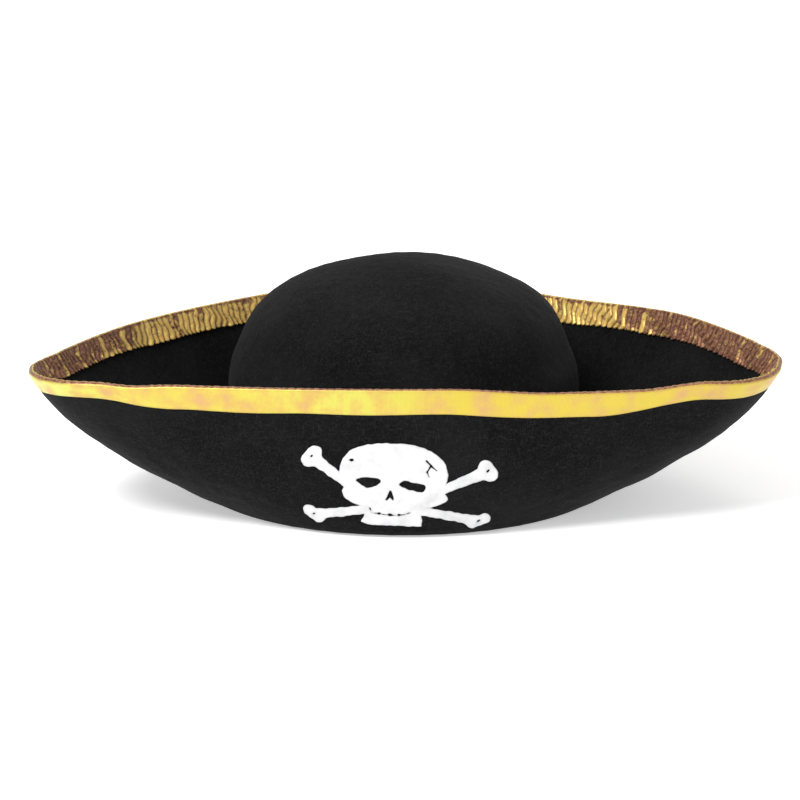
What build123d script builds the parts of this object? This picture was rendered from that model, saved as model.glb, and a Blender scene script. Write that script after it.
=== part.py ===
"""Costume pirate hat: a black felt tricorn with a gold ribbon folded over its rim.

Millimetres, +Z up. The front flap faces -Y. The origin is the centre of the head opening, in the plane
that the underside of the brim rests on.
"""

from build123d import *

import math
import os

# Felt and ribbon
FELT = 2.5
RIBBON = 0.5
RIBBON_LEG = 12.0
RIBBON_GAP = 0.1

# Crown: half widths of its outside at the head line, and its outer profile as (half width, height)
CROWN_HALF_X = 92.0
CROWN_HALF_Y = 103.0
CROWN_TOP = 117.0
CROWN_WALL = 48.0
CROWN_PROFILE = [(0, CROWN_TOP), (29.5, 114), (57, 105), (77.5, 90), (86.5, 72)]

# Brim: level curves of its outer face, from the base up past the rim.
# Each is (height, front, side corner x, side corner y, rear corner, rear flap, corner radius).
BRIM_LEVELS = [
    (0, 108, 92, -52, 130, 106, 60),
    (14, 115, 120, -63, 140, 112, 54),
    (30, 119, 148.5, -74, 149, 119, 47),
    (50, 120, 177.5, -87, 158, 126, 41),
    (86, 122, 199, -103, 172, 136, 36),
]
REAR_FLAP_ANGLE = 145.0
FOLD_RADIUS = 8.0
BRIM_REACH = 260.0
BASE = 0.9 * FELT

# Rim: the height that the flaps are cut to at the middle of the hat and at the brim's reach to either side,
# and how fast the cut falls towards the rear
RIM_MIDDLE = 75.0
RIM_REACH = 78.0
RIM_FALL = 0.0175

# Head opening: the brim's collar stands inside the crown, and the sweatband inside the collar.
# Each inset is measured inwards from the crown's outside along X.
FIT = 0.05
COLLAR = 2.0
COLLAR_HEIGHT = 14.0
COLLAR_OUT = FELT + FIT
COLLAR_IN = COLLAR_OUT + COLLAR
BAND = 0.8
BAND_OUT = COLLAR_IN + 0.5
BAND_IN = BAND_OUT + BAND
BAND_FOOT = 1.0
BAND_TOP = 36.0

# Care label, behind the head, held at its foot by a short row of stitches
LABEL = 0.4
LABEL_OUT = BAND_IN + FIT
LABEL_IN = LABEL_OUT + LABEL
LABEL_WIDTH = 24.0
LABEL_FOOT = 8.0
LABEL_TOP = 46.0
LABEL_ROW = 10.0
LABEL_ROW_WIDTH = 20.0

# Thread: each seam is a line of thread this thick and this wide
THREAD = 0.3
THREAD_WIDTH = 0.6
BAND_ROW = 5.0
HEAD_ROW = 9.0
RIM_ROW = RIBBON_LEG - 1.5
TACK_RADIUS = 0.8
TACK_HEIGHT = 22.0

# Skull and crossbones transfer, drawn in the front flap's (x, z)
TRANSFER = 0.3
SKULL_X = -5.0
CRANIUM = [(25, 32), (26, 38), (23, 43.5), (14, 47.6), (0, 48.8)]
CHEEK = [(25, 32), (25.6, 24.5), (21, 19.5), (14.5, 17.6)]
JAW = [(14.5, 17.6), (14, 13), (15.6, 8.4), (0, 7.6)]
EYE_X, EYE_Z, EYE_HALF_X, EYE_HALF_Z = 10.8, 28.8, 6.2, 2.9
NOSE = [(0, 26.2), (2.4, 21.2), (0, 22.4), (-2.4, 21.2)]
TEETH_Z, TOOTH_PITCH, TOOTH_X, TOOTH_Z, TEETH = 13.6, 4.2, 0.8, 3.2, 5
CRACK = [
    (15.5, 42.6), (17.8, 39.6), (16.4, 37.8), (18.2, 34.8),
    (17.6, 37.9), (19.6, 39.7), (22, 37.4), (19.4, 41.2),
]
BONES = [((-43.5, 42.0), (36.2, 12.4)), ((-44.3, 14.6), (39.1, 35.8))]
BONE_WIDTH, KNOB_RADIUS, KNOB_OFFSET = 4.8, 3.5, 3.0


def head_oval(inset):
    """Half axes of the oval at this inset."""
    return CROWN_HALF_X - inset, (CROWN_HALF_X - inset) * CROWN_HALF_Y / CROWN_HALF_X


def oval_ring(outer, inner, foot, top):
    """An upright oval ring between two insets."""
    with BuildPart() as ring:
        with BuildSketch(Plane.XY.offset(foot)):
            Ellipse(*head_oval(outer))
            Ellipse(*head_oval(inner), mode=Mode.SUBTRACT)
        extrude(amount=top - foot)
    return ring.part


def brim_body(outset, lift):
    """The closed body under one face of the brim: its level curves, moved outwards and up."""
    angle = math.radians(REAR_FLAP_ANGLE)
    with BuildPart() as body:
        for height, front, side_x, side_y, rear, flap, radius in BRIM_LEVELS:
            flap_x, flap_y = -flap * math.cos(angle), flap * math.sin(angle)
            with BuildSketch(Plane.XY.offset(height + lift)) as level:
                with BuildLine():
                    ThreePointArc((-side_x, side_y), (0, -front), (side_x, side_y))
                    ThreePointArc((side_x, side_y), (flap_x, flap_y), (0, rear))
                    ThreePointArc((0, rear), (-flap_x, flap_y), (-side_x, side_y))
                make_face()
                fillet(level.vertices(), radius)
                if outset:
                    offset(amount=outset)
        loft()
    return body.part


def outer_body(outset=0.0):
    """Everything inside the brim's outer face."""
    return brim_body(outset, 0)


def inner_body(outset=0.0):
    """Everything inside its inner face, inset and lifted to keep the felt's thickness on flap and keel."""
    return brim_body(outset - 0.8 * FELT, BASE)


def below_rim(rise=0.0):
    """Everything below the rim's cut, raised by this much."""
    middle, reach = RIM_MIDDLE + rise, RIM_REACH + rise
    with BuildPart() as below:
        with BuildSketch(Plane.XZ):
            with BuildLine():
                ThreePointArc((-BRIM_REACH, reach), (0, middle), (BRIM_REACH, reach))
                Line((BRIM_REACH, reach), (BRIM_REACH, -reach))
                Line((BRIM_REACH, -reach), (-BRIM_REACH, -reach))
                Line((-BRIM_REACH, -reach), (-BRIM_REACH, reach))
            make_face()
        extrude(amount=BRIM_REACH, dir=(0, 1, -RIM_FALL), both=True)
    return below.part


def make_crown():
    with BuildPart() as crown:
        with BuildSketch(Plane.XZ):
            with BuildLine():
                Spline(*CROWN_PROFILE, (CROWN_HALF_X, CROWN_WALL), tangents=[(1, 0), (0, -1)])
                Polyline((CROWN_HALF_X, CROWN_WALL), (CROWN_HALF_X, BASE), (0, BASE), (0, CROWN_TOP))
            make_face()
        revolve(axis=Axis.Z)
        offset(amount=-FELT, openings=crown.faces().sort_by(Axis.Z)[0])
        scale(by=(1, CROWN_HALF_Y / CROWN_HALF_X, 1))
    return crown.part


def make_brim():
    with BuildPart() as brim:
        add(outer_body())
        fillet(brim.edges().group_by(Axis.Z)[0], FOLD_RADIUS)
        add(inner_body(), mode=Mode.SUBTRACT)
        add(below_rim(), mode=Mode.INTERSECT)
        add(oval_ring(COLLAR_OUT, COLLAR_IN, 0, COLLAR_HEIGHT))
        with BuildSketch():
            Ellipse(*head_oval(COLLAR_IN))
        extrude(amount=COLLAR_HEIGHT, mode=Mode.SUBTRACT)
    return brim.part


def make_binding():
    """A folded ribbon: two legs and the fold between them, clear of the felt that they wrap."""
    with BuildPart() as wrapped:
        add(outer_body(RIBBON_GAP))
        add(inner_body(-RIBBON_GAP), mode=Mode.SUBTRACT)
        add(below_rim(RIBBON_GAP), mode=Mode.INTERSECT)
    with BuildPart() as binding:
        add(outer_body(RIBBON_GAP + RIBBON))
        add(inner_body(-RIBBON_GAP - RIBBON), mode=Mode.SUBTRACT)
        add(below_rim(RIBBON_GAP + RIBBON), mode=Mode.INTERSECT)
        add(below_rim(-RIBBON_LEG), mode=Mode.SUBTRACT)
        add(wrapped.part, mode=Mode.SUBTRACT)
    return binding.part


def thread_line(outer, inner):
    """The thread's line along the rim, between two bodies."""
    with BuildPart() as line:
        add(outer)
        add(inner, mode=Mode.SUBTRACT)
        add(below_rim(-RIM_ROW), mode=Mode.INTERSECT)
        add(below_rim(-RIM_ROW - THREAD_WIDTH), mode=Mode.SUBTRACT)
    return line.part


def make_binding_stitching():
    """One line on each leg of the binding."""
    lift = RIBBON_GAP + RIBBON + FIT
    with BuildPart() as lines:
        add(thread_line(outer_body(lift + THREAD), outer_body(lift)))
        add(thread_line(inner_body(-lift), inner_body(-lift - THREAD)))
    return lines.part


def make_tack(direction, felts):
    """A bar of thread across the gutter: the middle one of the pieces that the felts cut a rod into."""
    turn = math.radians(direction)
    start = Plane(origin=(0, 0, TACK_HEIGHT), z_dir=(math.cos(turn), math.sin(turn), 0))
    with BuildPart() as rod:
        with BuildSketch(start):
            Circle(TACK_RADIUS)
        extrude(amount=BRIM_REACH)
        for felt in felts:
            add(felt, mode=Mode.SUBTRACT)
    return rod.solids().sort_by(Axis(start.origin, start.z_dir))[1]


def label_piece(outer, inner, foot, top, width):
    """What an oval ring has behind the head, cut to this width."""
    with BuildPart() as piece:
        add(oval_ring(outer, inner, foot, top))
        with Locations((0, CROWN_HALF_Y, top / 2)):
            Box(width, CROWN_HALF_Y, top, mode=Mode.INTERSECT)
    return piece.part


def mirrored(points):
    return [(-x, z) for x, z in reversed(points)]


def bone(start, end):
    """A straight shaft with two knobs at each end."""
    run = Vector(*end) - Vector(*start)
    with BuildSketch() as drawn:
        with Locations(Location((Vector(*start) + Vector(*end)) / 2, math.degrees(math.atan2(run.Y, run.X)))):
            Rectangle(run.length, BONE_WIDTH)
            with GridLocations(run.length, 2 * KNOB_OFFSET, 2, 2):
                Circle(KNOB_RADIUS)
    return drawn.sketch


def skull_outline():
    with BuildSketch() as outline:
        with BuildLine():
            Spline(*CRANIUM, *mirrored(CRANIUM[:-1]), tangents=[(0, 1), (0, -1)])
            Spline(*CHEEK)
            Polyline(*JAW, *mirrored(JAW[:-1]))
            Spline(*mirrored(CHEEK))
        make_face()
    return outline.sketch


def skull_face():
    """The eyes, nose, teeth and crack that show the felt."""
    with BuildSketch() as face:
        with Locations((-EYE_X, EYE_Z), (EYE_X, EYE_Z)):
            Ellipse(EYE_HALF_X, EYE_HALF_Z)
        with Locations((0, TEETH_Z)):
            with GridLocations(TOOTH_PITCH, 0, TEETH, 1):
                Rectangle(TOOTH_X, TOOTH_Z)
        for marks in (NOSE, CRACK):
            with BuildLine():
                Polyline(*marks, close=True)
            make_face()
    return face.sketch


def make_transfer():
    """A film on the front flap, cut to the drawing of a skull before two crossed bones."""
    with BuildPart() as transfer:
        with BuildSketch(Plane.XZ):
            for start, end in BONES:
                add(bone(start, end))
            with Locations((SKULL_X, 0)):
                add(skull_outline())
                add(skull_face(), mode=Mode.SUBTRACT)
        extrude(amount=BRIM_REACH)
        add(outer_body(FIT + TRANSFER), mode=Mode.INTERSECT)
        add(outer_body(FIT), mode=Mode.SUBTRACT)
    return transfer.part


def write(part, label):
    part.label = label
    export_step(part, f"parts/{label}.step")


os.makedirs("parts", exist_ok=True)
crown = make_crown()
brim = make_brim()
left_tack = make_tack(REAR_FLAP_ANGLE, (crown, brim))
write(crown, "crown")
write(brim, "brim")
write(make_binding(), "brim_binding")
write(make_binding_stitching(), "binding_stitching")
write(oval_ring(BAND_OUT, BAND_IN, BAND_FOOT, BAND_TOP), "sweatband")
write(
    oval_ring(BAND_IN + FIT, BAND_IN + FIT + THREAD, BAND_ROW, BAND_ROW + THREAD_WIDTH),
    "sweatband_stitching",
)
write(oval_ring(-FIT - THREAD, -FIT, HEAD_ROW, HEAD_ROW + THREAD_WIDTH), "headline_stitching")
write(make_tack(270, (crown, brim)), "front_tack")
write(left_tack, "left_tack")
write(mirror(left_tack, about=Plane.YZ), "right_tack")
write(label_piece(LABEL_OUT, LABEL_IN, LABEL_FOOT, LABEL_TOP, LABEL_WIDTH), "care_label")
label_row = label_piece(
    LABEL_IN + FIT, LABEL_IN + FIT + THREAD, LABEL_ROW, LABEL_ROW + THREAD_WIDTH, LABEL_ROW_WIDTH
)
write(label_row, "label_stitching")
write(make_transfer(), "skull_and_bones_transfer")
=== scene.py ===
"""Looks of the pirate hat: a felt tricorn with a ruched gold ribbon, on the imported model. Metres, +Z up."""

import math

import bmesh
import bpy
import numpy as np
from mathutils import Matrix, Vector
from mathutils.bvhtree import BVHTree


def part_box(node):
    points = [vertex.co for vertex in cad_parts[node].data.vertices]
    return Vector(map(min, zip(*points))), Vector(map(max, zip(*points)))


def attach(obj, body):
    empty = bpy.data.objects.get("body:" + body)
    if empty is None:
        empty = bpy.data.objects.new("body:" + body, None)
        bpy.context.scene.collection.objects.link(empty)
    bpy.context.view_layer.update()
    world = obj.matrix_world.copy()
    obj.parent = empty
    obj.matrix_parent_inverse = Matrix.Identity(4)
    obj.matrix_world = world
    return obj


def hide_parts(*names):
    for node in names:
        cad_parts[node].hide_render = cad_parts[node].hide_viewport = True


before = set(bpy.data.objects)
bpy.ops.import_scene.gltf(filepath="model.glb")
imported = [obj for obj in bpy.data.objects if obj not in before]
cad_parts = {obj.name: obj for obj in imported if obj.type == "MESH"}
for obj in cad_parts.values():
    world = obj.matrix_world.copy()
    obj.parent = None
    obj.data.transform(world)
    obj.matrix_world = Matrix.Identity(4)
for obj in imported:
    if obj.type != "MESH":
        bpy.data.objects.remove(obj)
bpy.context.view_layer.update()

MM = 0.001
FAR = 0.5                      # outside the whole hat

# Felt
FELT = 2.5 * MM
BASE_FELT = 2.1 * MM           # flat, under the crown's foot
COLLAR_FELT = 1.9 * MM
COLLAR_INSET = 4.55 * MM
COLLAR_HEIGHT = 14.0 * MM
FOLD_FLAT = 2.2 * MM           # from the fold's lowest sample to the flat underside
# Ribbon
RIBBON = 0.45 * MM
RIBBON_GAP = 0.12 * MM
RIBBON_LEG = 12.0 * MM
PLEAT = (3.2 * MM, 5.0 * MM)   # pitch
PLEAT_DEPTH = 1.5 * MM
# Rim: its height at the middle, its rise at this reach to either side, and its fall towards the rear
RIM_MIDDLE = 75.0 * MM
RIM_RISE = 3.0 * MM
RIM_REACH = 260.0 * MM
RIM_FALL = 0.0175
TIP_ANGLE = math.radians(26)   # of the side tips, forward of the hat's width
TIP_PULL = 2.4 * MM
COLUMNS = 2400                 # around the rim
WALL_STEPS = 1440              # samples of the flaps around the hat
WALL_HEIGHTS = [0.3, 1.2, 2.5, 4, 6, 8, 10, 13, 16, 20, 24, 28, 32, 36, 40, 44, 48, 52, 56, 60, 64, 67, 70.5]
# Thread
STITCH_PITCH = 3.4 * MM
STITCH_LENGTH = 2.5 * MM
THREAD_RADIUS = 0.2 * MM
THREAD_LIFT = 0.05 * MM        # of a stitch off its cloth
HEAD_ROW = 9 * MM              # height of the seam between crown and brim


# ---------------------------------------------------------------- arrays
def unit(vectors):
    return vectors / np.linalg.norm(vectors, axis=-1, keepdims=True)


def smoothstep(x, low, high):
    t = np.clip((x - low) / (high - low), 0, 1)
    return t * t * (3 - 2 * t)


def blur_around(values, sigma):
    """Periodic Gaussian blur along the last axis, sigma in samples."""
    count = values.shape[-1]
    damping = np.exp(-2 * (np.pi * sigma * np.fft.rfftfreq(count)) ** 2)
    return np.fft.irfft(np.fft.rfft(values) * damping, count)


def ripple(points, wavelength, seed, waves=14):
    """Smooth random field, about -1 to 1, over points of shape (..., 3)."""
    draw = np.random.default_rng(seed)
    headings = unit(draw.normal(size=(waves, 3)))
    scales = draw.uniform(0.7, 1.5, waves) * 2 * np.pi / wavelength
    phases = draw.uniform(0, 2 * np.pi, waves)
    total = 0
    for heading, scale, phase in zip(headings, scales, phases):
        total = total + np.sin(points @ (heading * scale) + phase)
    return total / math.sqrt(waves)


def at(radius, angle, height):
    return np.stack([radius * np.cos(angle), radius * np.sin(angle), height + 0 * radius], axis=-1)


def even_rows(path, count):
    """The same columns, with their points evenly spaced along each one."""
    steps = np.linalg.norm(np.diff(path, axis=0), axis=2)
    so_far = np.concatenate([np.zeros((1, path.shape[1])), np.cumsum(steps, axis=0)])
    even = np.empty((count, path.shape[1], 3))
    for j in range(path.shape[1]):
        where = np.linspace(0, so_far[-1, j], count)
        for axis in range(3):
            even[:, j, axis] = np.interp(where, so_far[:, j], path[:, j, axis])
    return even


def ring_normals(points):
    """Unit normals of a grid (rows, columns, 3) whose columns close round the hat."""
    along = np.roll(points, -1, axis=1) - np.roll(points, 1, axis=1)
    down = np.gradient(points, axis=0)
    return unit(np.cross(down, along))


# ---------------------------------------------------------------- meshes
def add_piece(name, points, faces, material, node=None):
    mesh = bpy.data.meshes.new(name)
    mesh.from_pydata(np.asarray(points).reshape(-1, 3).tolist(), [], faces)
    mesh.update()
    mesh.shade_smooth()
    mesh.materials.append(material)
    piece = bpy.data.objects.new(name, mesh)
    bpy.context.scene.collection.objects.link(piece)
    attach(piece, "root")
    if node:
        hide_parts(node)
    return piece


def grid_faces(rows, columns, close_rows=True, close_columns=True):
    """Quads of a grid of points, row after row, closed into a ring either way."""
    row = np.arange(rows if close_rows else rows - 1)[:, None]
    column = np.arange(columns if close_columns else columns - 1)[None, :]
    here, below = row * columns, (row + 1) % rows * columns
    right = (column + 1) % columns
    corners = [here + column, below + column, below + right, here + right]
    return np.stack(corners, axis=-1).reshape(-1, 4).tolist()


def turned_over(faces, count):
    """The same faces on a second set of points, which follows the first, seen from the other side."""
    return [[i + count for i in reversed(face)] for face in faces]


def sheet_faces(rows, columns):
    """Faces of a sheet with thickness: a grid, its copy on the other side, and the rim between them."""
    count = rows * columns
    front = grid_faces(rows, columns, False, False)
    ring = [*range(columns), *range(2 * columns - 1, count, columns)]
    ring += [*range(count - 2, count - columns - 1, -1), *range(count - 2 * columns, 0, -columns)]
    rim = [[a, b, b + count, a + count] for a, b in zip(ring, ring[1:] + ring[:1])]
    return front + turned_over(front, count) + rim


def store(piece, name, values):
    """A number per vertex that materials can read."""
    attribute = piece.data.attributes.new(name, "FLOAT", "POINT")
    attribute.data.foreach_set("value", np.asarray(values, np.float32).ravel())


def store_uv(piece, u, v):
    """A flat layout in metres, such as along and across a ribbon."""
    layer = piece.data.uv_layers.new(name="flat")
    corner = np.empty(len(piece.data.loops), np.int32)
    piece.data.loops.foreach_get("vertex_index", corner)
    flat = np.stack([u.ravel()[corner], v.ravel()[corner]], axis=1)
    layer.data.foreach_set("uv", flat.astype(np.float32).ravel())


# ---------------------------------------------------------------- materials
class Shader:
    """A Principled material and short ways to add nodes to it."""

    def __init__(self, name, **sockets):
        self.material = bpy.data.materials.new(name)
        self.material.use_nodes = True
        self.tree = self.material.node_tree
        self.bsdf = self.tree.nodes["Principled BSDF"]
        for socket, value in sockets.items():
            self.bsdf.inputs[socket.replace("_", " ").title().replace("Ior", "IOR")].default_value = value

    def node(self, kind, inputs=(), **settings):
        made = self.tree.nodes.new(kind)
        for key, value in settings.items():
            setattr(made, key, value)
        for key, value in dict(inputs).items():
            if isinstance(value, bpy.types.NodeSocket):
                self.tree.links.new(value, made.inputs[key])
            else:
                made.inputs[key].default_value = value
        return made

    def where(self, stretch=(1, 1, 1), turn=(0, 0, 0), flat=False):
        """Object position in metres, or a ribbon's flat layout, stretched and turned."""
        source = self.node("ShaderNodeTexCoord").outputs["UV" if flat else "Object"]
        inputs = {"Vector": source, "Scale": stretch, "Rotation": turn}
        return self.node("ShaderNodeMapping", inputs).outputs[0]

    def noise(self, where, scale, detail=3.0, roughness=0.55, distortion=0.0):
        inputs = {"Vector": where, "Scale": scale, "Detail": detail}
        inputs |= {"Roughness": roughness, "Distortion": distortion}
        return self.node("ShaderNodeTexNoise", inputs).outputs["Fac"]

    def wave(self, where, scale, distortion, detail, direction="X"):
        inputs = {"Vector": where, "Scale": scale, "Distortion": distortion, "Detail": detail}
        return self.node("ShaderNodeTexWave", inputs, bands_direction=direction).outputs["Fac"]

    def attribute(self, name):
        return self.node("ShaderNodeAttribute", attribute_name=name).outputs["Fac"]

    def math(self, operation, a, b=0.0, clamp=False):
        return self.node("ShaderNodeMath", {0: a, 1: b}, operation=operation, use_clamp=clamp).outputs[0]

    def spread(self, value, low, high, to_low=0.0, to_high=1.0):
        """value from low..high mapped smoothly to to_low..to_high."""
        inputs = {"Value": value, "From Min": low, "From Max": high, "To Min": to_low, "To Max": to_high}
        return self.node("ShaderNodeMapRange", inputs, interpolation_type="SMOOTHSTEP").outputs[0]

    def mix(self, share, a, b, blend="MIX"):
        made = self.node("ShaderNodeMix", {0: share}, data_type="RGBA", blend_type=blend)
        for socket, value in ((6, a), (7, b)):
            if isinstance(value, bpy.types.NodeSocket):
                self.tree.links.new(value, made.inputs[socket])
            else:
                made.inputs[socket].default_value = (*value, 1)
        return made.outputs[2]

    def bump(self, *heights):
        """Bumps of (height, strength, distance in metres), one on the other."""
        normal = None
        for height, strength, distance in heights:
            inputs = {"Height": height, "Strength": strength, "Distance": distance}
            if normal is not None:
                inputs["Normal"] = normal
            normal = self.node("ShaderNodeBump", inputs).outputs[0]
        self.tree.links.new(normal, self.bsdf.inputs["Normal"])

    def set(self, socket, value):
        self.tree.links.new(value, self.bsdf.inputs[socket])


def felt_material(name, dark, light):
    """Pressed felt: a mat of short fibres lying every way, pilled and slightly uneven."""
    felt = Shader(name, roughness=0.9, sheen_weight=0.045, sheen_roughness=0.4, specular_ior_level=0.1)
    felt.bsdf.inputs["Sheen Tint"].default_value = (0.7, 0.7, 0.75, 1)
    fibres = []
    lays = ((0.3, (1, 0.16, 1)), (1.4, (1, 1, 0.16)), (2.3, (0.16, 1, 1)), (4.1, (1, 0.2, 0.6)))
    for turn, stretch in lays:
        where = felt.where(stretch, (turn, turn * 1.7, turn * 0.6))
        fibres.append(felt.noise(where, 1500.0, 2.0, 0.6, 0.6))
    upper, lower = felt.math("MAXIMUM", *fibres[:2]), felt.math("MAXIMUM", *fibres[2:])
    mat = felt.math("MAXIMUM", upper, lower)
    clumps = felt.noise(felt.where(), 260.0, 4.0, 0.6)
    patches = felt.noise(felt.where(), 22.0, 3.0, 0.5)
    tone = felt.mix(felt.spread(mat, 0.5, 0.78), dark, light)
    tone = felt.mix(felt.spread(clumps, 0.35, 0.7, 0.0, 0.5), tone, dark)
    tone = felt.mix(felt.spread(patches, 0.4, 0.75, 0.0, 0.3), tone, light)
    felt.set("Base Color", tone)
    felt.bump((patches, 0.25, 1.2 * MM), (clumps, 0.45, 0.6 * MM), (mat, 0.8, 0.4 * MM))
    return felt.material


def ribbon_material():
    """Gold lame ribbon: fine cross ribs, brassy yellow, and brown painted dark reflection and shade where the
    mesh says so.
    """
    gold = Shader("gold_ribbon", metallic=0.45, roughness=0.42, sheen_weight=0.1)
    flat = gold.where(flat=True)
    ribs = gold.wave(flat, 520.0, 0.4, 1.0)
    threads = gold.wave(flat, 900.0, 0.6, 1.0, "Y")
    cloudy = gold.noise(flat, 85.0, 3.0, 0.55)
    fine = gold.noise(flat, 700.0, 2.0, 0.6)
    slow = gold.noise(gold.where(), 6.0, 1.0)
    inside, painted_valley_shade = gold.attribute("inside"), gold.attribute("painted_valley_shade")
    lemon = gold.mix(gold.spread(slow, 0.35, 0.65), (0.59, 0.60, 0.11), (0.60, 0.465, 0.048))
    yellow = gold.mix(gold.spread(cloudy, 0.38, 0.62), lemon, (0.58, 0.39, 0.085))
    # Pinkish-orange patches in cloudy noise: painted reflections on the metallic ribbon.
    yellow = gold.mix(gold.spread(cloudy, 0.55, 0.75, 0.0, 0.6), yellow, (0.55, 0.29, 0.17))
    # Painted light: the inner leg is painted a brighter, more orange gold than the outer leg of the same
    # ribbon.
    painted_lit_inner_gold = gold.mix(gold.spread(fine, 0.35, 0.65), (1.0, 0.74, 0.2), (0.95, 0.56, 0.15))
    yellow = gold.mix(inside, yellow, painted_lit_inner_gold)
    # Painted dark reflection and shade: brown over the fold's top, towards the side tips and on some pleats,
    # in patches on the inner leg.
    brown = gold.mix(gold.spread(fine, 0.35, 0.65), (0.14, 0.045, 0.026), (0.42, 0.19, 0.105))
    painted_reflection_patches = gold.math("SUBTRACT", gold.noise(flat, 280.0, 2.0, 0.6), 0.5)
    painted_reflection_patches = gold.math("MULTIPLY", painted_reflection_patches, gold.math("MULTIPLY", inside, 3.0))
    painted_dark_reflection = gold.spread(gold.math("ADD", gold.attribute("painted_dark_reflection"), painted_reflection_patches), 0.2, 0.8)
    tone = gold.mix(painted_dark_reflection, yellow, brown)
    # Painted shade between the pleats' ridges.
    tone = gold.mix(gold.math("MULTIPLY", painted_valley_shade, 0.75), tone, (0.07, 0.022, 0.012))
    between_ribs = gold.math("MULTIPLY", gold.spread(ribs, 0.0, 0.5, 1.0, 0.0), 0.22)
    tone = gold.mix(between_ribs, tone, (0.3, 0.15, 0.03))
    gold.set("Base Color", tone)
    gold.set("Roughness", gold.spread(fine, 0.3, 0.7, 0.34, 0.52))
    gold.bump((cloudy, 0.2, 0.6 * MM), (ribs, 0.35, 0.08 * MM), (threads, 0.25, 0.05 * MM))
    return gold.material


def transfer_material():
    """Flocked white film with a faint weave of the felt under it and worn, greyer patches."""
    film = Shader("white_transfer", roughness=0.62, sheen_weight=0.08, sheen_roughness=0.5)
    cloudy = film.noise(film.where(), 130.0, 4.0, 0.6)
    fine = film.noise(film.where(), 1400.0, 3.0, 0.6)
    shade = film.attribute("shade")
    tone = film.mix(film.spread(cloudy, 0.35, 0.75), (0.68, 0.68, 0.68), (0.54, 0.54, 0.55))
    tone = film.mix(film.spread(fine, 0.3, 0.7, 0.0, 0.15), tone, (0.62, 0.62, 0.63))
    film.set("Base Color", film.mix(shade, tone, (0.42, 0.42, 0.43)))
    film.bump((cloudy, 0.4, 0.5 * MM), (fine, 0.5, 0.15 * MM))
    return film.material


def satin_material(name, colour, pale):
    """Satin: long floats that catch the light one way, with a slack, slightly rumpled face."""
    satin = Shader(name, roughness=0.34, sheen_weight=0.3, sheen_roughness=0.3, anisotropic=0.5)
    flat = satin.where(flat=True)
    floats = satin.wave(flat, 1100.0, 1.2, 2.0, "Y")
    slubs = satin.noise(satin.where((0.06, 1, 1), flat=True), 900.0, 3.0, 0.6)
    rumples = satin.noise(flat, 60.0, 3.0, 0.5)
    tone = satin.mix(satin.spread(slubs, 0.35, 0.7), colour, pale)
    satin.set("Base Color", satin.mix(satin.spread(floats, 0.0, 0.4, 0.25, 0.0), tone, (0, 0, 0)))
    satin.bump((rumples, 0.3, 0.8 * MM), (slubs, 0.25, 0.12 * MM), (floats, 0.2, 0.05 * MM))
    return satin.material


def thread_material(name, colour, pale):
    """Spun thread: plies wound round its length."""
    thread = Shader(name, roughness=0.6, sheen_weight=0.4, sheen_roughness=0.4)
    plies = thread.wave(thread.where(turn=(0.5, 0.4, 0.8)), 620.0, 1.5, 2.0)
    fuzz = thread.noise(thread.where(), 2600.0, 2.0, 0.6)
    thread.set("Base Color", thread.mix(thread.math("MULTIPLY", plies, fuzz), colour, pale))
    thread.bump((plies, 0.5, 0.12 * MM), (fuzz, 0.3, 0.05 * MM))
    return thread.material


FELT_BLACK = felt_material("black_felt", (0.0010, 0.0010, 0.0012), (0.017, 0.0168, 0.0178))
GOLD = ribbon_material()
WHITE_FILM = transfer_material()
BLACK_SATIN = satin_material("black_satin", (0.006, 0.006, 0.007), (0.02, 0.02, 0.023))
WHITE_SATIN = satin_material("white_satin", (0.66, 0.66, 0.64), (0.8, 0.8, 0.78))
BLACK_THREAD = thread_material("black_thread", (0.01, 0.01, 0.011), (0.035, 0.035, 0.04))
GOLD_THREAD = thread_material("gold_thread", (0.42, 0.24, 0.05), (0.75, 0.52, 0.14))


# ---------------------------------------------------------------- the felt's shape, from the frame
def tree(node):
    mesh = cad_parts[node].data
    return BVHTree.FromPolygons([v.co for v in mesh.vertices], [p.vertices for p in mesh.polygons])


class Wall:
    """Radius of the brim's outer face at any angle and height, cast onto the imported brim."""

    def __init__(self):
        self.heights = np.array(WALL_HEIGHTS) * MM
        brim = tree("brim")
        radii = np.empty((len(self.heights), WALL_STEPS))
        for j in range(WALL_STEPS):
            angle = j * 2 * math.pi / WALL_STEPS
            out = Vector((math.cos(angle), math.sin(angle), 0))
            for i, height in enumerate(self.heights):
                hit = brim.ray_cast(out * FAR + Vector((0, 0, height)), -out)[0]
                radii[i, j] = math.hypot(hit.x, hit.y)
        self.radii = blur_around(radii, 3)

    def __call__(self, angle, height):
        """Radius for arrays of angles and heights of one shape."""
        place = (angle / (2 * np.pi) * WALL_STEPS) % WALL_STEPS
        left = place.astype(int) % WALL_STEPS
        right, share = (left + 1) % WALL_STEPS, place - np.floor(place)
        k = np.clip(np.searchsorted(self.heights, height) - 1, 0, len(self.heights) - 2)
        up = (height - self.heights[k]) / (self.heights[k + 1] - self.heights[k])
        low = self.radii[k, left] * (1 - share) + self.radii[k, right] * share
        high = self.radii[k + 1, left] * (1 - share) + self.radii[k + 1, right] * share
        return low * (1 - up) + high * up


wall = Wall()
crown_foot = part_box("crown")[0].z
crown_half_x, crown_half_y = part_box("crown")[1].x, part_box("crown")[1].y


def oval(inset, angle):
    """Radius of the head oval, inset from the crown's outside."""
    half_x = crown_half_x - inset
    half_y = half_x * crown_half_y / crown_half_x
    return 1 / np.sqrt((np.cos(angle) / half_x) ** 2 + (np.sin(angle) / half_y) ** 2)


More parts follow.
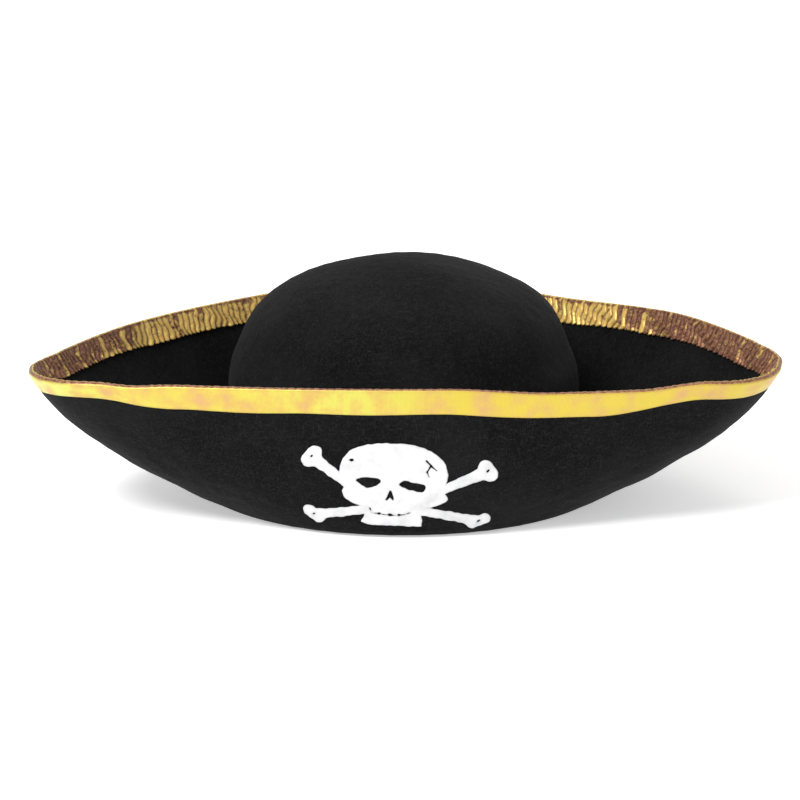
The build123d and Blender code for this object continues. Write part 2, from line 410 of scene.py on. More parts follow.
def rim_wave(x, y):
    """How far the rim strays from its cut: a higher right rear flap, a sagging right front, low tips."""
    rear = smoothstep(y, -112 * MM, -38 * MM)
    right_rear = 6.0 * MM * smoothstep(x, 80 * MM, 165 * MM) * rear
    right_front = -2.8 * MM * smoothstep(x, 20 * MM, 75 * MM) * (1 - smoothstep(x, 115 * MM, 150 * MM))
    left_front = -1.5 * MM * np.exp(-((x + 133 * MM) / (14 * MM)) ** 2)
    tips = -2.5 * MM * smoothstep(np.abs(x), 140 * MM, 190 * MM)
    return right_rear + tips + (1 - rear) * (right_front + left_front)


def pulled_in(angle, height):
    """How far the ribbon's pull draws each side tip in from the CAD's corner."""
    x, y = np.cos(angle), np.sin(angle)
    near_tip = np.exp(-((np.arctan2(y, np.abs(x)) + TIP_ANGLE) / 0.22) ** 2)
    return TIP_PULL * near_tip * smoothstep(height, 25 * MM, RIM_MIDDLE)


def rim_height(angle):
    """Height of the felt's edge all round."""
    height = np.full_like(angle, RIM_MIDDLE)
    for _ in range(4):
        radius = wall(angle, height)
        x, y = radius * np.cos(angle), radius * np.sin(angle)
        height = RIM_MIDDLE + RIM_RISE * (x / RIM_REACH) ** 2 - RIM_FALL * y + rim_wave(x, y)
    return height


def rim_columns():
    """Angles evenly spaced along the rim from the rear corner, and the rim's length."""
    fine = np.pi / 2 + np.arange(WALL_STEPS * 5) * 2 * np.pi / WALL_STEPS / 5
    height = rim_height(fine)
    points = at(wall(fine, height), fine, height)
    steps = np.linalg.norm(np.roll(points, -1, axis=0) - points, axis=1)
    so_far = np.concatenate([[0], np.cumsum(steps)])
    turned = np.append(fine, fine[0] + 2 * np.pi)
    return np.interp(np.arange(COLUMNS) * so_far[-1] / COLUMNS, so_far, turned), so_far[-1]


angles, rim_length = rim_columns()
rims = rim_height(angles)
along = np.arange(COLUMNS) * rim_length / COLUMNS


def flap_path(count):
    """Outer face of the felt, from the rim down the flap and round the fold to the flat underside."""
    fall = np.linspace(0, 1, 200)[:, None]
    heights = rims * (1 - fall) + wall.heights[0] * fall
    radii = wall(np.broadcast_to(angles, heights.shape), heights) - pulled_in(angles, heights)
    flat = at(radii[-1] - FOLD_FLAT, angles, 0 * angles)
    path = np.concatenate([at(radii, angles, heights), flat[None]])
    return even_rows(path, count)


def wear(points):
    """How far handling has moved the brim's felt along its normals; the ribbon holds its edge flat."""
    moved = ripple(points, 38 * MM, 3) * 0.25 * MM + ripple(points, 9 * MM, 4) * 0.07 * MM
    free = 1 - smoothstep(points[..., 2], RIM_MIDDLE - RIBBON_LEG - 12 * MM, RIM_MIDDLE - RIBBON_LEG - 5 * MM)
    return moved * free


# ---------------------------------------------------------------- pieces
def make_brim(columns=800, flap=90, base=10, collar=12):
    """One sheet of felt: flap, fold, flat base, and the collar that turns up inside the crown."""
    step = COLUMNS // columns
    outer = flap_path(flap)[:, ::step]
    turn = angles[::step]
    inner_radius = oval(COLLAR_INSET, turn)
    edge = np.linalg.norm(outer[-1, :, :2], axis=1)
    flat = [at(edge * (1 - t) + inner_radius * t, turn, 0 * turn) for t in np.linspace(0, 1, base + 2)[1:-1]]
    corner = 1.2 * MM
    bend = [at(inner_radius + corner * (1 - math.sin(a)), turn, corner * (1 - math.cos(a)))
            for a in np.linspace(0, math.pi / 2, 5)]
    up = [at(inner_radius, turn, z) for z in np.linspace(corner, COLLAR_HEIGHT, collar)[1:]]
    face = np.concatenate([outer, flat[:-1], bend, up])
    thick = np.concatenate([np.full(flap, FELT), np.linspace(FELT, BASE_FELT, base - 1),
                            np.linspace(BASE_FELT, COLLAR_FELT, 5), np.full(collar - 1, COLLAR_FELT)])
    normals = ring_normals(face)
    worn = wear(face) * smoothstep(face[..., 2], 1 * MM, 8 * MM)
    outside = face + normals * worn[..., None]
    back = face - normals * (thick[:, None] + 0.5 * worn)[..., None]
    points = np.concatenate([outside, back[::-1]])
    points[..., 2] = np.maximum(points[..., 2], 0)
    return add_piece("felt_brim", points, grid_faces(len(points), columns), FELT_BLACK, "brim")


def crown_profile(count):
    """The crown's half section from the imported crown: (x, z) pairs from the top down to the foot."""
    cast = tree("crown")
    middle = Vector((0, 0, 35 * MM))
    found = []
    for lift in np.linspace(90, -19, 160):
        out = Vector((math.cos(math.radians(lift)), 0, math.sin(math.radians(lift))))
        hit = cast.ray_cast(middle + out * FAR, -out)[0]
        found.append((hit.x, hit.z))
    found.append((crown_half_x, crown_foot))
    path = np.array(found)
    path[0, 0] = 0
    steps = np.linalg.norm(np.diff(path, axis=0), axis=1)
    so_far = np.concatenate([[0], np.cumsum(steps)])
    where = np.linspace(0, so_far[-1], count)
    return np.stack([np.interp(where, so_far, path[:, axis]) for axis in (0, 1)], axis=1)


def disc_grid(side):
    """A square grid of quads wrapped to a disc: each point's distance from the middle, 0 to 1, and angle."""
    line = np.linspace(-1, 1, side)
    u, v = np.meshgrid(line, line)
    longer = np.maximum(np.abs(u), np.abs(v))
    shrink = longer / np.maximum(np.hypot(u, v), 1e-9)
    angle = np.arctan2(v, u)
    quarter = np.pi / 4
    wide = np.abs(u) >= np.abs(v)
    safe_u, safe_v = np.where(u == 0, 1e-9, u), np.where(v == 0, 1e-9, v)
    turned = np.where(wide, quarter * v / safe_u + np.where(u < 0, np.pi, 0),
                      np.pi / 2 - quarter * u / safe_v + np.where(v < 0, np.pi, 0))
    return longer, np.where(longer > 0, turned, angle * shrink)


def make_crown(side=201):
    """A felt dome: a disc of quads over the outside, another inside, joined at the foot."""
    profile = crown_profile(400)
    share, turn = disc_grid(side)
    place = share * (len(profile) - 1)
    half = np.interp(place, np.arange(len(profile)), profile[:, 0])
    height = np.interp(place, np.arange(len(profile)), profile[:, 1])
    depth = half * crown_half_y / crown_half_x
    outer = np.stack([half * np.cos(turn), depth * np.sin(turn), height], axis=-1)
    du, dv = np.gradient(outer, axis=1), np.gradient(outer, axis=0)
    normals = unit(np.cross(du, dv))
    normals *= np.sign((normals * (outer - [0, 0, 0.02])).sum(-1, keepdims=True))
    worn = ripple(outer, 60 * MM, 11) * 0.5 * MM + ripple(outer, 11 * MM, 12) * 0.08 * MM
    worn *= smoothstep(height, 4 * MM, 20 * MM)
    outside = outer + normals * worn[..., None]
    inside = outer - normals * (FELT + 0.4 * worn)[..., None]
    points = np.concatenate([outside.reshape(-1, 3), inside.reshape(-1, 3)])
    piece = add_piece("felt_crown", points, sheet_faces(side, side), FELT_BLACK, "crown")
    recalculate(piece)
    return piece


def recalculate(piece):
    """Faces all turned outwards."""
    mesh = bmesh.new()
    mesh.from_mesh(piece.data)
    bmesh.ops.recalc_face_normals(mesh, faces=mesh.faces)
    mesh.to_mesh(piece.data)
    mesh.free()


def pleats():
    """Along the rim: 0 in a pleat's valleys to 1 on its ridge, and a number of each pleat's own."""
    draw = np.random.default_rng(21)
    edges = [0.0]
    while edges[-1] < rim_length - PLEAT[1]:
        edges.append(edges[-1] + draw.uniform(*PLEAT))
    edges = np.array(edges) * rim_length / edges[-1]
    count = len(edges) - 1
    which = np.clip(np.searchsorted(edges, along, side="right") - 1, 0, count - 1)
    phase = (along - edges[which]) / (edges[which + 1] - edges[which])
    height = draw.uniform(0.55, 1.0, count)
    ridge = np.sin(np.pi * phase) ** 0.8 * height[which]
    return ridge, draw.uniform(0, 1, count)[which]


def offset_rows(face, normals, depth, lift):
    """Points this deep below the rim on a felt face, moved out along its normals."""
    rows = np.empty((*depth.shape, 3))
    fall = np.linalg.norm(np.diff(face, axis=0), axis=2)
    so_far = np.concatenate([np.zeros((1, COLUMNS)), np.cumsum(fall, axis=0)])
    moved = np.empty_like(rows)
    for j in range(COLUMNS):
        for axis in range(3):
            rows[:, j, axis] = np.interp(depth[:, j], so_far[:, j], face[:, j, axis])
            moved[:, j, axis] = np.interp(depth[:, j], so_far[:, j], normals[:, j, axis])
    return rows + unit(moved) * lift[..., None]


def make_binding(face, legs=18, fold=11):
    """The ribbon: a flat leg outside, the fold over the felt's edge, and a ruched leg inside."""
    normals = ring_normals(face)
    ridge, number = pleats()
    x, y = face[0, :, 0], face[0, :, 1]
    front = 1 - smoothstep(y, -110 * MM, -45 * MM)
    left, right = smoothstep(-x, 112 * MM, 142 * MM), smoothstep(x, 95 * MM, 130 * MM)
    shift = 0.6 * MM + front * (3.9 * MM * left + 3.0 * MM * right)
    outer_leg = RIBBON_LEG - shift + 0.25 * MM * np.sin(along * 2 * np.pi / (61 * MM))
    inner_leg = RIBBON_LEG + 0.4 * shift + 0.4 * MM * np.sin(along * 2 * np.pi / (83 * MM))
    down = np.linspace(0, 1, legs)[:, None]
    sway = 0.9 * MM * np.sin(down * 4 + along * 2 * np.pi / (47 * MM))
    sway = sway + 0.5 * MM * np.sin(down * 9 + along * 300)
    swayed = ((along + sway) / rim_length * COLUMNS).astype(int) % COLUMNS
    ridge, number = ridge[swayed], number[swayed]
    inner_leg = inner_leg + 1.0 * MM * ridge[-1]
    puff = 0.3 * MM * np.sin(np.pi * down) * (0.5 + 0.5 * ripple(face[:1], 30 * MM, 31))
    outer_depth = (1 - down) * outer_leg
    outer_lift = RIBBON_GAP + puff
    inner_depth = down * inner_leg
    inner_lift = -(FELT + RIBBON_GAP + PLEAT_DEPTH * ridge * (0.35 + 0.65 * down))
    outside = offset_rows(face, normals, outer_depth, outer_lift)
    inside = offset_rows(face, normals, inner_depth, inner_lift)
    start, end = outside[-1], inside[0]
    middle, half = (start + end) / 2, (start - end) / 2
    over = []
    for a in np.linspace(0, np.pi, fold + 2)[1:-1]:
        rise = np.linalg.norm(half, axis=1) * math.sin(a) * 0.75
        over.append(middle + half * math.cos(a) + rise[:, None] * [0, 0, 1])
    path = np.concatenate([outside, over, inside])
    out = ring_normals(path)
    skin = path + out * RIBBON
    points = np.concatenate([skin, path[::-1]])
    rows = len(path)
    piece = add_piece("ribbon_binding", points, grid_faces(2 * rows, COLUMNS), GOLD, "brim_binding")
    across = np.concatenate([[0], np.cumsum(np.linalg.norm(np.diff(path, axis=0), axis=2).mean(axis=1))])
    across = np.concatenate([across, across[::-1]])[:, None]
    store_uv(piece, np.broadcast_to(along, (2 * rows, COLUMNS)), np.broadcast_to(across, (2 * rows, COLUMNS)))
    reach = np.concatenate([np.zeros(legs + fold, int), np.arange(legs)])
    colour_binding(piece, path, ridge[reach], number[reach], legs, fold)
    return piece, path


def colour_binding(piece, path, ridge, number, legs, fold):
    """Where the ribbon is its inner leg, where it gets painted shade between the pleats, and where it gets
    brown painted dark reflection and shade.
    """
    rows = len(path)
    row = np.arange(rows)[:, None]
    # Painted dark reflection grows towards the side tips, more on the right than on the left.
    tip = smoothstep(np.abs(path[..., 0] + 12 * MM), 105 * MM, 165 * MM)
    inward = smoothstep(row, legs + fold // 2, legs + fold)
    lower = smoothstep(row, rows - 9, rows - 2)
    # Painted dark reflection on pleats picked at random and near the tips, kept off the inner leg's lower
    # edge away from the tips.
    painted_dark_pleats = smoothstep(number + 0.9 * tip, 0.55, 1.25) * (1 - 0.85 * lower * (1 - tip))
    # Painted shade between the pleats' ridges, on the inner leg only.
    painted_valley_shade = (1 - smoothstep(ridge, 0.1, 0.65)) * inward
    # Painted shade: a brown line along the top of the fold, with the gathered inner side of the fold a little
    # less dark.
    past_fold = smoothstep(row, legs + fold, legs + fold + 3)
    gathered = smoothstep(row, legs + 0.6 * fold, legs + fold) * (1 - past_fold)
    fold_line = np.exp(-((row - legs - 0.34 * fold) / (0.24 * fold)) ** 2)
    edge = np.maximum(fold_line, 0.75 * gathered)
    painted_dark_reflection = np.clip(np.maximum(inward * painted_dark_pleats, edge), 0, 1)
    inside = np.broadcast_to(inward, painted_dark_reflection.shape)
    for name, values in (("inside", inside), ("painted_valley_shade", painted_valley_shade), ("painted_dark_reflection", painted_dark_reflection)):
        store(piece, name, np.concatenate([values, values[::-1]]))


def stitch_mesh(name, places, material, node, radius=THREAD_RADIUS, length=STITCH_LENGTH):
    """Short arched stitches: each place is a point, the row's direction there and the cloth's normal."""
    sides, rings = 6, 9
    template = []
    for t in np.linspace(0, 1, rings):
        thin = radius * (0.35 + 0.65 * math.sin(math.pi * t) ** 0.5)
        rise = radius * (1.1 * math.sin(math.pi * t) ** 0.6 - 0.5)
        for k in range(sides):
            turn = 2 * math.pi * k / sides
            template.append(((t - 0.5) * length, thin * math.cos(turn), rise + thin * math.sin(turn)))
    template = np.array(template)
    faces = grid_faces(rings, sides, False, True)
    faces += [list(range(sides))[::-1], list(range((rings - 1) * sides, rings * sides))]
    faces = [face[::-1] for face in faces]
    points, all_faces = [], []
    for i, (spot, run, normal) in enumerate(places):
        side = np.cross(normal, run)
        points.append(spot + template @ np.array([run, side, normal]))
        all_faces += [[corner + i * len(template) for corner in face] for face in faces]
    return add_piece(name, np.concatenate(points), all_faces, material, node)


def places_along(line, normals):
    """Stitch places along a closed line of points, one pitch apart."""
    steps = np.linalg.norm(np.roll(line, -1, axis=0) - line, axis=1)
    so_far = np.concatenate([[0], np.cumsum(steps)])
    closed, closed_normals = np.concatenate([line, line[:1]]), np.concatenate([normals, normals[:1]])
    count = int(so_far[-1] / STITCH_PITCH)
    found = []
    for i in range(count):
        where = (i + 0.5) * so_far[-1] / count
        pick = [np.array([np.interp(w, so_far, closed[:, k]) for k in range(3)])
                for w in (where - 0.5 * MM, where, where + 0.5 * MM)]
        normal = unit(np.array([np.interp(where, so_far, closed_normals[:, k]) for k in range(3)]))
        run = unit(pick[2] - pick[0])
        run = unit(run - normal * (run @ normal))
        found.append((pick[1], run, normal))
    return found


def make_binding_stitching(path):
    normals = ring_normals(path)
    rows = []
    for row in (2, len(path) - 3):
        line = path[row] + normals[row] * (RIBBON + THREAD_LIFT)
        rows += places_along(line, normals[row])
    return stitch_mesh("ribbon_stitches", rows, GOLD_THREAD, "binding_stitching")


# ---------------------------------------------------------------- the transfer, drawn as distances
def along_run(x, z, ax, az, bx, bz):
    """How far along the run from a to b the nearest point lies, 0 to 1."""
    run_x, run_z = bx - ax, bz - az
    return np.clip(((x - ax) * run_x + (z - az) * run_z) / (run_x ** 2 + run_z ** 2), 0, 1)


def to_outline(x, z, corners):
    """Signed distance to a closed outline of straight runs, above 0 inside."""
    corners = np.array(corners, float)
    nearest, inside = np.full(x.shape, np.inf), np.zeros(x.shape, bool)
    for (ax, az), (bx, bz) in zip(corners, np.roll(corners, -1, axis=0)):
        share = along_run(x, z, ax, az, bx, bz)
        nearest = np.minimum(nearest, np.hypot(x - ax - share * (bx - ax), z - az - share * (bz - az)))
        crosses = ((az > z) != (bz > z)) & (x < (bx - ax) * (z - az) / (bz - az + 1e-12) + ax)
        inside ^= crosses
    return np.where(inside, nearest, -nearest)


def to_circle(x, z, cx, cz, radius):
    return radius - np.hypot(x - cx, z - cz)


def to_oval(x, z, cx, cz, half_x, half_z, turn=0.0):
    c, s = math.cos(turn), math.sin(turn)
    u, v = (x - cx) * c + (z - cz) * s, -(x - cx) * s + (z - cz) * c
    return (1 - np.hypot(u / half_x, v / half_z)) * min(half_x, half_z)


def to_bar(x, z, a, b, radius_a, radius_b):
    """A rounded bar whose radius goes evenly from one end to the other."""
    ax, az = a
    bx, bz = b
    share = along_run(x, z, ax, az, bx, bz)
    away = np.hypot(x - ax - share * (bx - ax), z - az - share * (bz - az))
    return radius_a + (radius_b - radius_a) * share - away


def merge(a, b, soft=1.0):
    """Union with a soft inner corner."""
    share = np.clip(0.5 + 0.5 * (a - b) / soft, 0, 1)
    return b + (a - b) * share + soft * share * (1 - share)


def smooth_outline(points, steps=10):
    """A closed Catmull-Rom curve through the points."""
    p = np.array(points, float)
    before, after, later = np.roll(p, 1, axis=0), np.roll(p, -1, axis=0), np.roll(p, -2, axis=0)
    found = []
    for a, b, c, d in zip(before, p, after, later):
        for t in np.linspace(0, 1, steps, endpoint=False):
            found.append(0.5 * (2 * b + (c - a) * t + (2 * a - 5 * b + 4 * c - d) * t * t
                                + (3 * b - a - 3 * c + d) * t ** 3))
    return found


# The drawing, in millimetres across and up the front flap, from the skull's middle and the underside
DOME = [
    (-26.0, 31), (-26.4, 36.5), (-24.6, 41.5), (-20.2, 45.8), (-12, 48.2), (-2, 48.8), (9, 48), (17.6, 45),
    (23.8, 40.2), (26, 34), (25.2, 28.6), (24.2, 25.2), (26, 21.6), (24, 19.4), (17.5, 17.2), (12, 16.4),
    (0, 16), (-13, 17.4), (-18.4, 18.8), (-23.4, 21.6), (-25.2, 25), (-24.2, 28.2),
]
JAW = [
    (-14.8, 18), (13.6, 17.6), (13.2, 13.2), (13.8, 10), (13.4, 6.8), (7.4, 6.9), (-2, 7.3), (-10.9, 7.6),
    (-14.6, 8.6), (-16.6, 9.6), (-15, 12.2),
]
# Each end of a bone: where it leaves the skull, its two lobes and their radius
BONE_ENDS = [
    ((-21, 28), (-38.2, 44.0), (-41.6, 40.4), 3.4),
    ((21, 25), (44.2, 36.9), (46.9, 33.2), 3.5),
    ((-12, 16.6), (-41.6, 14.0), (-37.0, 10.2), 3.0),
    ((12, 16.0), (44.2, 9.8), (38.2, 7.6), 2.9),
]
BONE_RADIUS = 2.1
LEFT_EYE = [(-18.3, 31), (-15, 32.4), (-9.4, 32.4), (-6.5, 31), (-8.4, 28.4), (-12.6, 27.2), (-16, 28.6)]
RIGHT_EYE = [
    (2.4, 29), (5, 31), (9, 30.2), (14.4, 29), (15.2, 27.4), (13.6, 25.2), (9.8, 26), (5.6, 27.2),
]
NOSE = [(-2.2, 25.8), (-1.4, 25.8), (-0.1, 21.6), (-0.8, 21), (-2, 22.4), (-3.4, 21), (-4.1, 21.6)]
CRACK = [
    ((15.6, 40.6), (18.0, 38.0)), ((18.0, 38.0), (20.6, 35.8)),
    ((17.6, 37.8), (16.0, 35.2)), ((16.0, 35.2), (16.9, 32.8)),
]
GRIN = [(-11.9, 16.8), (-10.9, 14.6), (-7.5, 13.9), (-2.8, 13.2), (1.9, 13.2), (5, 13.6), (7.6, 14.8)]
TOOTH_GAPS = [(-7.4, 14.0, 1.0), (-2.1, 13.4, 1.2), (2.3, 13.4, 0.8)]
TEMPLE_PIT = (-20.4, 40.8, 1.1, 0.7)
SKULL_X = -4.5
CHIN_Z, TALLER = 6.8, 1.063    # the drawing is stretched upwards from its chin
FILM = 0.35 * MM
FILM_CELL = 0.45


def bone_distance(x, z, start, lobe_a, lobe_b, radius):
    """Half a bone: a shaft that flares into two lobes, with a small pit between them."""
    start, lobe_a, lobe_b = np.array(start), np.array(lobe_a), np.array(lobe_b)
    end = (lobe_a + lobe_b) / 2
    neck = start + (end - start) * 0.5
    shape = to_bar(x, z, start, neck, BONE_RADIUS + 0.3, BONE_RADIUS)
    shape = merge(shape, to_bar(x, z, neck, end, BONE_RADIUS, radius), 2.0)
    for lobe in (lobe_a, lobe_b):
        shape = merge(shape, to_circle(x, z, *lobe, radius), 1.4)
    return np.minimum(shape, -to_oval(x, z, *end, 0.85, 0.5, 0.8))


def drawing(x, z):
    """Signed distance to the whole drawing in millimetres, above 0 where there is film."""
    u = x - SKULL_X
    z = CHIN_Z + (z - CHIN_Z) / TALLER
    bones = np.maximum.reduce([bone_distance(u, z, *end) for end in BONE_ENDS])
    skull = merge(to_outline(u, z, smooth_outline(DOME)), to_outline(u, z, JAW) - 0.2, 1.2)
    shape = np.maximum(skull, bones)
    for eye in (LEFT_EYE, RIGHT_EYE, NOSE):
        shape = np.minimum(shape, -to_outline(u, z, smooth_outline(eye)))
    for a, b in CRACK:
        shape = np.minimum(shape, -to_bar(u, z, a, b, 0.42, 0.3))
    for a, b in zip(GRIN, GRIN[1:]):
        shape = np.minimum(shape, -to_bar(u, z, a, b, 0.22, 0.22))
    for cx, cz, size in TOOTH_GAPS:
        shape = np.minimum(shape, -to_oval(u, z, cx, cz, size, 0.75))
    shape = np.minimum(shape, -to_oval(u, z, *TEMPLE_PIT))
    ragged = ripple(np.stack([x, z, 0 * x], axis=-1), 3.2, 51) * 0.12
    return shape + ragged


def inside_mesh(xs, zs, value):
    """Triangles of a grid, cut at value 0: points (x, z) and faces."""
    keys, points, faces = {}, [], []

    def corner(i, j):
        return point(("corner", i, j), xs[i], zs[j])

    def point(key, x, z):
        if key not in keys:
            keys[key] = len(points)
            points.append((x, z))
        return keys[key]

    def crossing(a, b):
        a, b = min(a, b), max(a, b)
        share = value[a] / (value[a] - value[b])
        share = min(max(share, 0.02), 0.98)
        x = xs[a[0]] + share * (xs[b[0]] - xs[a[0]])
        z = zs[a[1]] + share * (zs[b[1]] - zs[a[1]])
        return point((a, b), x, z)

    for i in range(len(xs) - 1):
        for j in range(len(zs) - 1):
            quad = [(i, j), (i + 1, j), (i + 1, j + 1), (i, j + 1)]
            signs = [value[q] > 0 for q in quad]
            if all(signs):
                faces.append([corner(*q) for q in quad])
            elif any(signs):
                for tri in (quad[:3], [quad[0], *quad[2:]]):
                    ring = []
                    for a, b in zip(tri, tri[1:] + tri[:1]):
                        if value[a] > 0:
                            ring.append(corner(*a))
                        if (value[a] > 0) != (value[b] > 0):
                            ring.append(crossing(a, b))
                    if len(ring) > 2:
                        faces.append(ring)
    return np.array(points), faces


def on_front(x, z):
    """Points of the front flap's outer face at these x and z, and normals there."""
    def y_at(x, z):
        y = np.full_like(x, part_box("brim")[0].y)
        for _ in range(12):
            radius = wall(np.arctan2(y, x), z)
            y = -np.sqrt(np.maximum(radius ** 2 - x ** 2, 1e-9))
        return y
    y, step = y_at(x, z), 0.5 * MM
    slope_x = (y_at(x + step, z) - y_at(x - step, z)) / (2 * step)
    slope_z = (y_at(x, z + step) - y_at(x, z - step)) / (2 * step)
    normals = unit(np.stack([slope_x, -np.ones_like(x), slope_z], axis=1))
    return np.stack([x, y, z], axis=1), normals


def make_transfer():
    xs = np.arange(-60, 52, FILM_CELL)
    zs = np.arange(2.5, 56, FILM_CELL)
    grid_x, grid_z = np.meshgrid(xs, zs, indexing="ij")
    flat, faces = inside_mesh(xs, zs, drawing(grid_x, grid_z))
    points, normals = on_front(flat[:, 0] * MM, flat[:, 1] * MM)
    worn = wear(points) * smoothstep(points[:, 2], 1 * MM, 8 * MM)
    edge = drawing(flat[:, 0], flat[:, 1])
    lift = worn + FILM * (0.45 + 0.55 * smoothstep(edge, 0, 0.7)) + 0.05 * MM
    top, bottom = points + normals * lift[:, None], points + normals * (worn - 0.15 * MM)[:, None]
    count = len(points)
    edges = [edge for face in faces for edge in zip(face, face[1:] + face[:1])]
    known = set(edges)
    border = [(a, b) for a, b in edges if (b, a) not in known]
    sides = [[b, a, a + count, b + count] for a, b in border]
    faces = faces + turned_over(faces, count) + sides
    points = np.concatenate([top, bottom])
    piece = add_piece("skull_transfer", points, faces, WHITE_FILM, "skull_and_bones_transfer")
    shade = 0.5 * smoothstep(-edge, -0.9, 0.1)
    store(piece, "shade", np.concatenate([shade, shade]))
    recalculate(piece)
    return piece


# ---------------------------------------------------------------- inside the crown
BAND_INSET = 5.4 * MM
BAND_FOOT, BAND_TOP = 0.8 * MM, 36.0 * MM
BAND = 0.6 * MM
LABEL_WIDTH = 24 * MM
LABEL_FOOT, LABEL_TOP = 8 * MM, 46 * MM
LABEL = 0.3 * MM
LABEL_STITCHES = 6
LABEL_ROW = 3                  # the row of the label's points that is stitched


def make_sweatband(columns=720, rows=40):
    """A satin band with its lower edge turned under, standing a little slack inside the crown."""
    turn = np.linspace(0, 2 * np.pi, columns, endpoint=False) + np.pi / 2
    up = np.linspace(0, 1, rows)[:, None]
    height = BAND_FOOT + up * (BAND_TOP - BAND_FOOT) + 0.4 * MM * np.sin(turn * 5 + 1) * up
    slack = 0.5 * MM + up * (0.7 * MM * np.sin(turn * 7 + 0.4) + 0.5 * MM * np.sin(turn * 19) + 1.0 * MM)
    fold = 0.45 * MM * np.exp(-((height - 2.2 * MM) / (1.6 * MM)) ** 2)
    lean = smoothstep(height, 24 * MM, 36 * MM) * 1.2 * MM
    radius = oval(BAND_INSET, turn) - slack - fold - lean
    inner = at(radius, turn + 0 * height, height)
    outer = at(radius + BAND, turn + 0 * height, height)
    points = np.concatenate([inner, outer[::-1]])
    piece = add_piece("satin_sweatband", points, grid_faces(2 * rows, columns), BLACK_SATIN, "sweatband")
    recalculate(piece)
    girth = np.broadcast_to(turn * crown_half_x, (2 * rows, columns))
    tall = np.concatenate([height, height[::-1]])
    store_uv(piece, girth, np.broadcast_to(tall, (2 * rows, columns)))
    return piece, inner


def make_sweatband_stitching(inner):
    rows = inner.shape[0]
    row = int(rows * 0.14)
    normals = -ring_normals(inner)
    if (normals[row, 0] @ inner[row, 0]) > 0:
        normals = -normals
    line = inner[row] + normals[row] * THREAD_LIFT
    places = places_along(line, normals[row])
    return stitch_mesh("sweatband_stitches", places, BLACK_THREAD, "sweatband_stitching")


def make_headline_stitching():
    turn = np.linspace(0, 2 * np.pi, 1440, endpoint=False)
    line = at(oval(-0.1 * MM, turn), turn, HEAD_ROW)
    normals = unit(line * [1, 1, 0])
    return stitch_mesh("headline_stitches", places_along(line, normals), BLACK_THREAD, "headline_stitching")


def make_label():
    """A blank satin label, hanging inside the band behind the head."""
    across, up = np.meshgrid(np.linspace(-0.5, 0.5, 33), np.linspace(0, 1, 49))
    height = LABEL_FOOT + up * (LABEL_TOP - LABEL_FOOT)
    x = across * LABEL_WIDTH * (1 - 0.02 * np.sin(up * 9))
    half_x = crown_half_x - BAND_INSET - 3.6 * MM
    y = half_x * crown_half_y / crown_half_x * np.sqrt(1 - (x / half_x) ** 2)
    curl = smoothstep(up, 0.25, 1) * (2.2 * MM + 1.1 * MM * np.sin(across * 5 + 1))
    curl = curl + 0.3 * MM * np.sin(up * 14)
    y = y - curl
    front = np.stack([x, y, height], axis=-1)
    back = front + [0, LABEL, 0]
    points = np.concatenate([front.reshape(-1, 3), back.reshape(-1, 3)])
    piece = add_piece("care_label_blank", points, sheet_faces(*across.shape), WHITE_SATIN, "care_label")
    recalculate(piece)
    flat_x, flat_z = np.concatenate([x.ravel()] * 2), np.concatenate([height.ravel()] * 2)
    store_uv(piece, flat_x, flat_z)
    return piece, front


def make_label_stitching(front):
    """A short row of stitches across the label's foot."""
    columns = front.shape[1]
    run, normal = np.array([1.0, 0, 0]), np.array([0, -1.0, 0])
    places = []
    for share in np.linspace(-0.4, 0.4, LABEL_STITCHES):
        spot = front[LABEL_ROW, int((share + 0.5) * (columns - 1))]
        places.append((spot + normal * THREAD_LIFT, run, normal))
    return stitch_mesh("label_stitches", places, BLACK_THREAD, "label_stitching")


def make_tack(node):
    """A bar of thread between crown and flap: three plies wound together, lying where the CAD bar is."""
    low, high = (np.array(corner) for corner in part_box(node))
    centre, reach = (low + high) / 2, (high - low) / 2
    if node == "front_tack":
        run = np.array([0, -1.0, 0])
    else:
        run = unit(np.array([math.copysign(reach[0], centre[0]), reach[1], 0]))
    length = float(np.abs(run) @ reach) * 2
    side, up = unit(np.cross(run, [0, 0, 1])), np.array([0, 0, 1.0])
    rings, sides, plies = 60, 8, 3
    points, faces = [], []
    for ply in range(plies):
        for t in np.linspace(-0.5, 0.5, rings):
            wind = t * 22 + ply * 2 * math.pi / plies
            middle = centre + run * t * length + (side * math.cos(wind) + up * math.sin(wind)) * 0.38 * MM
            middle = middle - up * 0.25 * MM * math.cos(t * math.pi)
            for k in range(sides):
                a = 2 * math.pi * k / sides
                points.append(middle + (side * math.cos(a) + up * math.sin(a)) * 0.36 * MM)
        start = ply * rings * sides
        own = grid_faces(rings, sides, False, True)
        own += [list(range(sides)), list(range(rings * sides - 1, (rings - 1) * sides - 1, -1))]
        faces += [[corner + start for corner in face] for face in own]
    piece = add_piece(node + "_thread", np.array(points), faces, BLACK_THREAD, node)
    recalculate(piece)
    return piece


# ---------------------------------------------------------------- build
make_brim()
make_crown()
binding, ribbon_path = make_binding(flap_path(400))
make_binding_stitching(ribbon_path)
make_transfer()
sweatband, band_inner = make_sweatband()
make_sweatband_stitching(band_inner)
make_headline_stitching()
label, label_front = make_label()
make_label_stitching(label_front)
for tack in ("front_tack", "left_tack", "right_tack"):
    make_tack(tack)

# ---------------------------------------------------------------- stage, light and camera
EYE_LEVEL = math.radians(14)
EYE_DISTANCE = 1.5
TARGET = Vector((0, 0, 0.060))
LENS = 129.28                  # on a 36 mm sensor
SHIFT_X, SHIFT_Y = -0.0043, -0.0424


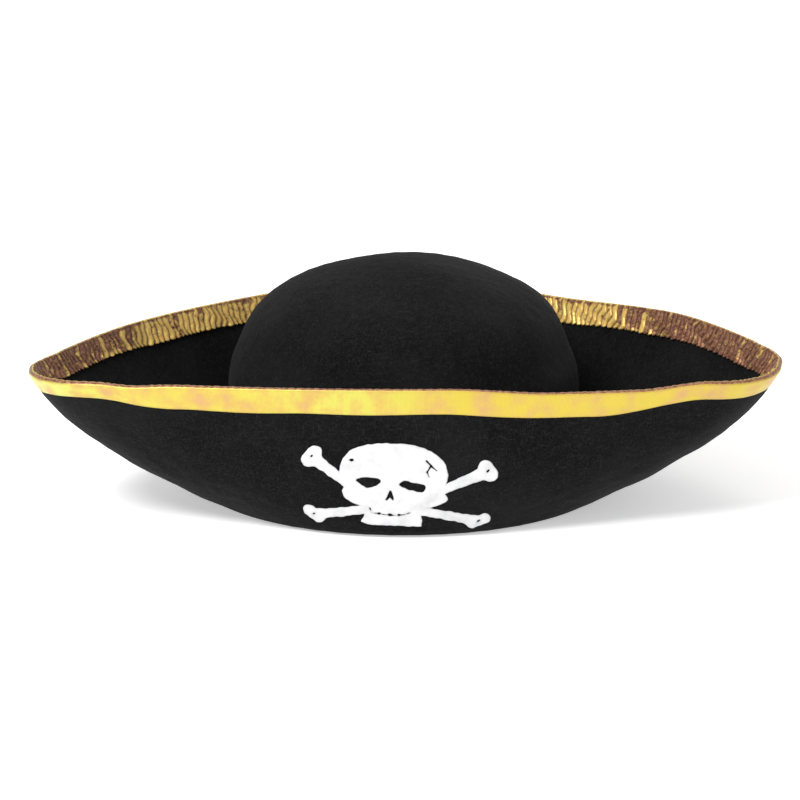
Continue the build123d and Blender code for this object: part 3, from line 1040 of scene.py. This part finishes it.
def make_floor():
    mesh = bpy.data.meshes.new("floor")
    size = 30
    corners = [(-size, -size, 0), (size, -size, 0), (size, size, 0), (-size, size, 0)]
    mesh.from_pydata(corners, [], [[0, 1, 2, 3]])
    paper = Shader("floor_paper", roughness=0.9, emission_strength=0.45)
    paper.bsdf.inputs["Emission Color"].default_value = (1, 1, 1, 1)
    tone = paper.noise(paper.where(), 3.0, 2.0)
    paper.set("Base Color", paper.mix(tone, (0.93, 0.93, 0.93), (0.95, 0.95, 0.95)))
    mesh.materials.append(paper.material)
    floor = bpy.data.objects.new("floor", mesh)
    bpy.context.scene.collection.objects.link(floor)


def add_light(name, place, size, power, colour=(1, 1, 1)):
    light = bpy.data.lights.new(name, "AREA")
    light.shape = "DISK"
    light.size = size
    light.energy = power
    light.color = colour
    lamp = bpy.data.objects.new(name, light)
    lamp.location = place
    lamp.rotation_euler = (TARGET - Vector(place)).to_track_quat("-Z", "Y").to_euler()
    bpy.context.scene.collection.objects.link(lamp)


def add_world():
    world = bpy.data.worlds.new("studio")
    world.use_nodes = True
    background = world.node_tree.nodes["Background"]
    background.inputs["Color"].default_value = (1, 1, 1, 1)
    background.inputs["Strength"].default_value = 0.56
    bpy.context.scene.world = world


def add_camera():
    camera = bpy.data.cameras.new("camera")
    camera.lens = LENS
    camera.sensor_width = 36
    camera.shift_x = SHIFT_X
    camera.shift_y = SHIFT_Y
    camera.clip_end = 100
    eye = bpy.data.objects.new("camera", camera)
    back = Vector((0, -math.cos(EYE_LEVEL), math.sin(EYE_LEVEL)))
    eye.location = TARGET + back * EYE_DISTANCE
    eye.rotation_euler = back.to_track_quat("Z", "Y").to_euler()
    bpy.context.scene.collection.objects.link(eye)
    bpy.context.scene.camera = eye


make_floor()
add_world()
add_light("key", (-0.9, -1.2, 1.7), 0.9, 46)
add_light("fill", (1.3, -0.9, 1.1), 1.1, 2)
add_light("top", (0.1, 0.7, 1.8), 0.8, 4)
add_camera()
bpy.context.scene.view_settings.view_transform = "Standard"
